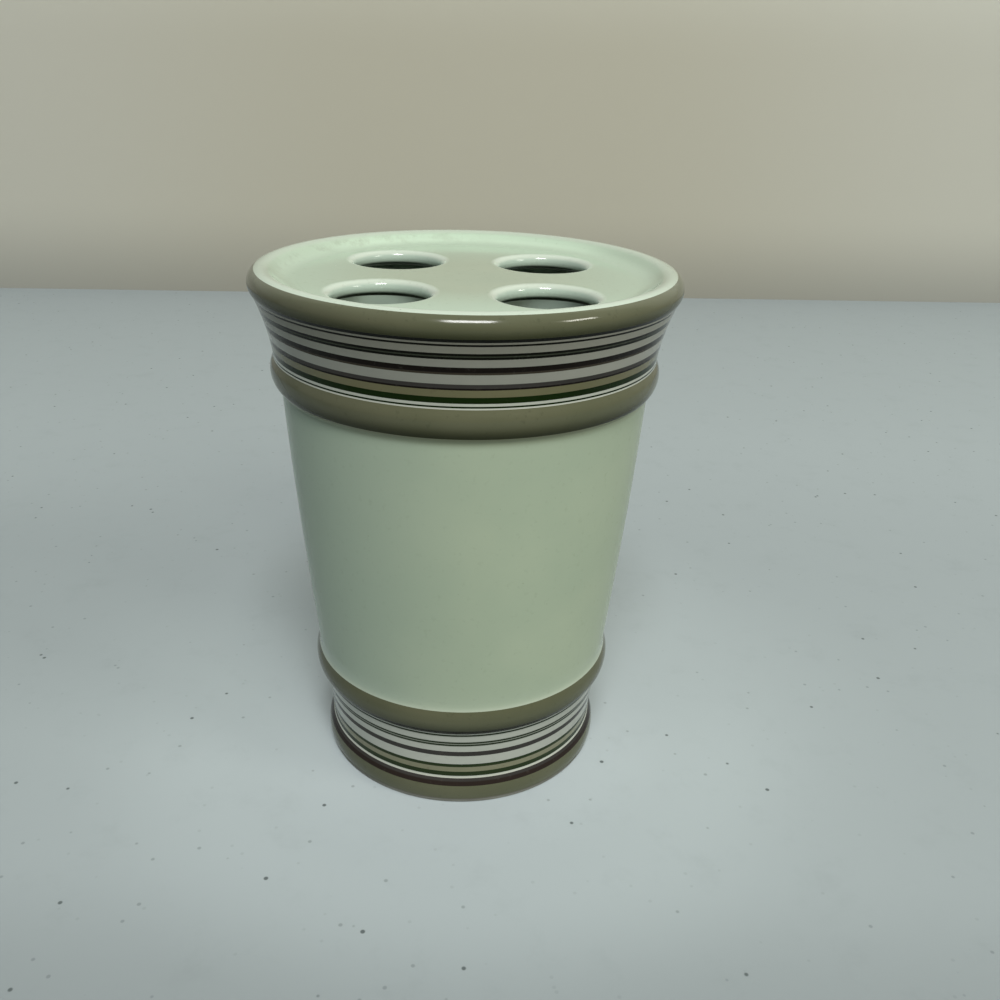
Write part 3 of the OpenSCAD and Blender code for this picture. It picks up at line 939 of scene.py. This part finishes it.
def pierced(name, section, edge, upper_z, lower_z, replaced):
    """A celadon coat turned from a section, with level sheets at two heights and rolled holes."""
    rolled = section_object(name + "_edge", [edge])
    made_piece(name, pierced_piece, [section], {
        **shared, "Finish": celadon, "Rolled Edge": rolled, "Holes": HOLES, "Hole Rounds": HOLE_ROUNDS,
        "Pitch Radius": HOLE_PITCH_R * MM, "Sheet Radius": SHEET_R * MM, "Opening Radius": LEVEL_R * MM,
        "Upper Height": upper_z * MM, "Lower Height": lower_z * MM,
    }, replaced)
    bpy.data.objects.remove(rolled)


rim_line = place_at(RIM_LINE_Z)
dish_outer = thinned(between(skin, rim_line, len(skin) - 1), turn=2.5, longest=1.5)
dish_inner = thinned(between(clay_skin, rim_line, len(skin) - 1), turn=6.0)
dish_inner[-1] = (SHEET_R, DISH_Z - GLAZE_T)
nose = (HOLE_EDGE_R, DISH_Z - NOSE_R)
upper_edge = np.concatenate([
    [[LEVEL_R, DISH_Z]], swept(nose, NOSE_R, 90, 180, steps=22),
    swept(nose, NOSE_R - GLAZE_T, 180, 90, steps=10), [[LEVEL_R, DISH_Z - GLAZE_T]],
])
lower_edge = np.concatenate([
    [[LEVEL_R, PLATE_LOW_Z]], swept(nose, NOSE_R, 270, 180, steps=16),
    swept(nose, NOSE_R - GLAZE_T, 180, 270, steps=8), [[LEVEL_R, PLATE_LOW_Z + GLAZE_T]],
])
pierced("dish_glaze_coat", np.concatenate([dish_outer[::-1], dish_inner]), upper_edge,
        DISH_Z, DISH_Z - GLAZE_T, ["dish_glaze"])
pierced("well_glaze_coat", np.concatenate([
    [[SHEET_R, PLATE_LOW_Z]], well_line(0)[::-1], well_clay, [[SHEET_R, PLATE_LOW_Z + GLAZE_T]],
]), lower_edge, PLATE_LOW_Z, PLATE_LOW_Z + GLAZE_T, ["well_glaze"])

# The clay of the top plate stays as the CAD made it, because its coats hide it

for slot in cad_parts["top_plate"].material_slots:
    slot.material = clay

# Table and backdrop

def scaled(colour, factor):
    """A colour made paler or deeper."""
    return tuple(part * factor for part in colour)


TABLE_TOP = (0.42, 0.478, 0.50)
WORN = (0.08, 0.10, 0.10)
TABLE = {
    # Painted shade on the table round the holder, fading out far behind it
    "behind": (0.18, scaled(TABLE_TOP, 0.4)),
    # Painted shade at the front of the table
    "front": (0.32, scaled(TABLE_TOP, 0.4)),
    # Painted pool of light round the holder's foot
    "light_pool": (1, scaled(TABLE_TOP, 1.25)),
    "worn": (0.07, WORN),
}
CLOTH_LOW = (0.56, 0.555, 0.49)
CLOTH = {
    # Painted shade, warmer, down the middle of the backdrop
    "middle": (1, (0.505, 0.485, 0.40)),
    "high": (1, (0.80, 0.81, 0.73)),
    # Painted shade where the backdrop meets the table
    "foot": (0.37, (0.05, 0.06, 0.07)),
}

# Specks on the table: how far apart, how wide, what share of the places has one, and how dark
TABLE_SPECKS = [(8, 0.62, 0.6, 0.85), (6.5, 0.55, 0.9, 0.35), (4, 0.5, 0.45, 0.12)]


def room_surface(name, colour, tones):
    """A matt surface of the room with a faint mottle, tones of its own and a fine grain."""
    look = Finish(name)
    shade = tones(look, look.tint(look.noise(180), scaled(colour, 0.97), colour))
    return look.done(shade, 0.7, look.noise(2.0), ROOM_GRAIN, ROOM_IOR, strength=0.3)


def cloth_tones(look, shade):
    """The backdrop is painted darker and warmer in the middle as shade, is paler high up, and is painted
    darker as shade where it meets the table.
    """
    return look.layered(shade, CLOTH, {
        "middle": look.ramp(look.unsigned(look.across), 360, 60),
        "high": look.ramp(look.height, 150, 300),
        "foot": look.ramp(look.height, 62, -10),
    })


def table_tones(look, shade):
    """The table has painted shade round the holder and deeper at its front, and a painted pool of light at
    the holder's foot; it is worn and specked.
    """
    # Where the painted pool of light lies
    near = look.ramp(look.out, 95, 55) * 0.42 + look.ramp(look.out, 58, 32) * 0.5
    shade = look.layered(shade, TABLE, {
        "behind": look.ramp(look.out, 60, 130) * look.ramp(look.along, 220, 70),
        "front": look.ramp(look.along, -50, -90),
        "light_pool": near * look.ramp(look.along, 26, -24),
        "worn": look.ramp(look.noise(14, detail=4.0, roughness=0.7), 0.5, 0.8),
    })
    for spacing, size, share, depth in TABLE_SPECKS:
        shade = look.tint(look.specks(spacing, size, share) * depth, shade, WORN)
    return shade


def slab(name, corners, material):
    """A flat sheet of the stage."""
    mesh = bpy.data.meshes.new(name)
    mesh.from_pydata(corners, [], [tuple(range(len(corners)))])
    made = bpy.data.objects.new(name, mesh)
    mesh.materials.append(material)
    bpy.context.scene.collection.objects.link(made)


# Edges of the table and the backdrop, in metres
SIDE, FRONT, TOP = 1.6, -1.4, 1.6
BACK_LEFT, BACK_RIGHT = (-SIDE, 0.378), (SIDE, 0.585)
slab("table", [(-SIDE, FRONT, 0), (SIDE, FRONT, 0), (*BACK_RIGHT, 0), (*BACK_LEFT, 0)],
     room_surface("table_top", TABLE_TOP, table_tones))
slab("backdrop", [(*BACK_LEFT, 0), (*BACK_RIGHT, 0), (*BACK_RIGHT, TOP), (*BACK_LEFT, TOP)],
     room_surface("backdrop_cloth", CLOTH_LOW, cloth_tones))

# Lamps, and the light of the room

WHITE = (1.0, 1.0, 1.0)
WARM_WHITE = (1.0, 0.97, 0.88)
YELLOW_WHITE = (1.0, 0.99, 0.84)
LAMP_DISTANCE = 2.2
ROOM_GLOW = {"Color": (0.90, 0.98, 1.0, 1.0), "Strength": 0.03}
ROOM_WALLS = {"Color": (0.40, 0.405, 0.36, 1.0), "Strength": 1.0}


def lamp(name, azimuth, elevation, size, power, colour, mirrored=True):
    """A rectangular soft lamp. Azimuth runs clockwise from +Y, seen from above."""
    turn, lift = math.radians(azimuth), math.radians(elevation)
    way = Vector((math.sin(turn) * math.cos(lift), math.cos(turn) * math.cos(lift), math.sin(lift)))
    light = bpy.data.lights.new(name, "AREA")
    light.shape = "RECTANGLE"
    light.size, light.size_y = size
    light.energy, light.color = power, colour
    held = bpy.data.objects.new(name, light)
    facing = way.to_track_quat("Z", "Y").to_matrix().to_4x4()
    held.matrix_world = Matrix.Translation(way * LAMP_DISTANCE) @ facing
    held.visible_glossy = mirrored
    bpy.context.scene.collection.objects.link(held)


def room_light():
    """A dim even glow, while the camera, mirrors and glass see pale walls."""
    room = bpy.data.worlds.new("room")
    bpy.context.scene.world = room
    room.use_nodes = True
    tree = room.node_tree
    tree.nodes.clear()
    glow = add_node(tree, "ShaderNodeBackground", inputs=ROOM_GLOW)
    walls = add_node(tree, "ShaderNodeBackground", inputs=ROOM_WALLS)
    ray = tree.nodes.new("ShaderNodeLightPath").outputs
    seen = ray["Is Camera Ray"]
    for kind in ("Is Glossy Ray", "Is Transmission Ray"):
        either = add_node(tree, "ShaderNodeMath", {"operation": "MAXIMUM"}, {0: seen, 1: ray[kind]})
        seen = either.outputs[0]
    shown = add_node(tree, "ShaderNodeMixShader", inputs={0: seen, 1: glow.outputs[0], 2: walls.outputs[0]})
    add_node(tree, "ShaderNodeOutputWorld", inputs={"Surface": shown.outputs[0]})


lamp("ceiling_panel", azimuth=176.3, elevation=58, size=(0.70, 0.55), power=29, colour=WHITE)
lamp("window_side", azimuth=113.8, elevation=35, size=(0.60, 0.30), power=8.4, colour=WARM_WHITE)
lamp("front_screen", azimuth=153, elevation=33, size=(1.2, 1.1), power=14.6, colour=YELLOW_WHITE,
     mirrored=False)
room_light()

# The camera stands where the photograph was taken from

HEADING, PITCH, ROLL = math.radians(0.079), math.radians(24.313), math.radians(1.706)
CAMERA_PLACE = (0.00796, -0.2072, 0.1541)
SENSOR_W, FOCAL_LENGTH = 36, 35.535

right = Vector((math.cos(HEADING), -math.sin(HEADING), 0))
ahead = Vector((math.sin(HEADING) * math.cos(PITCH), math.cos(HEADING) * math.cos(PITCH), -math.sin(PITCH)))
above = right.cross(ahead)
right, above = (math.cos(ROLL) * right + math.sin(ROLL) * above,
                -math.sin(ROLL) * right + math.cos(ROLL) * above)
camera = bpy.data.objects.new("camera", bpy.data.cameras.new("camera"))
camera.data.sensor_width = SENSOR_W
camera.data.lens = FOCAL_LENGTH
camera.data.clip_start = 0.01
facing = Matrix((right, above, -ahead)).transposed().to_4x4()
camera.matrix_world = Matrix.Translation(CAMERA_PLACE) @ facing
bpy.context.scene.collection.objects.link(camera)
bpy.context.scene.camera = camera

bpy.context.scene.view_settings.view_transform = "Standard"

bpy.context.view_layer.update()
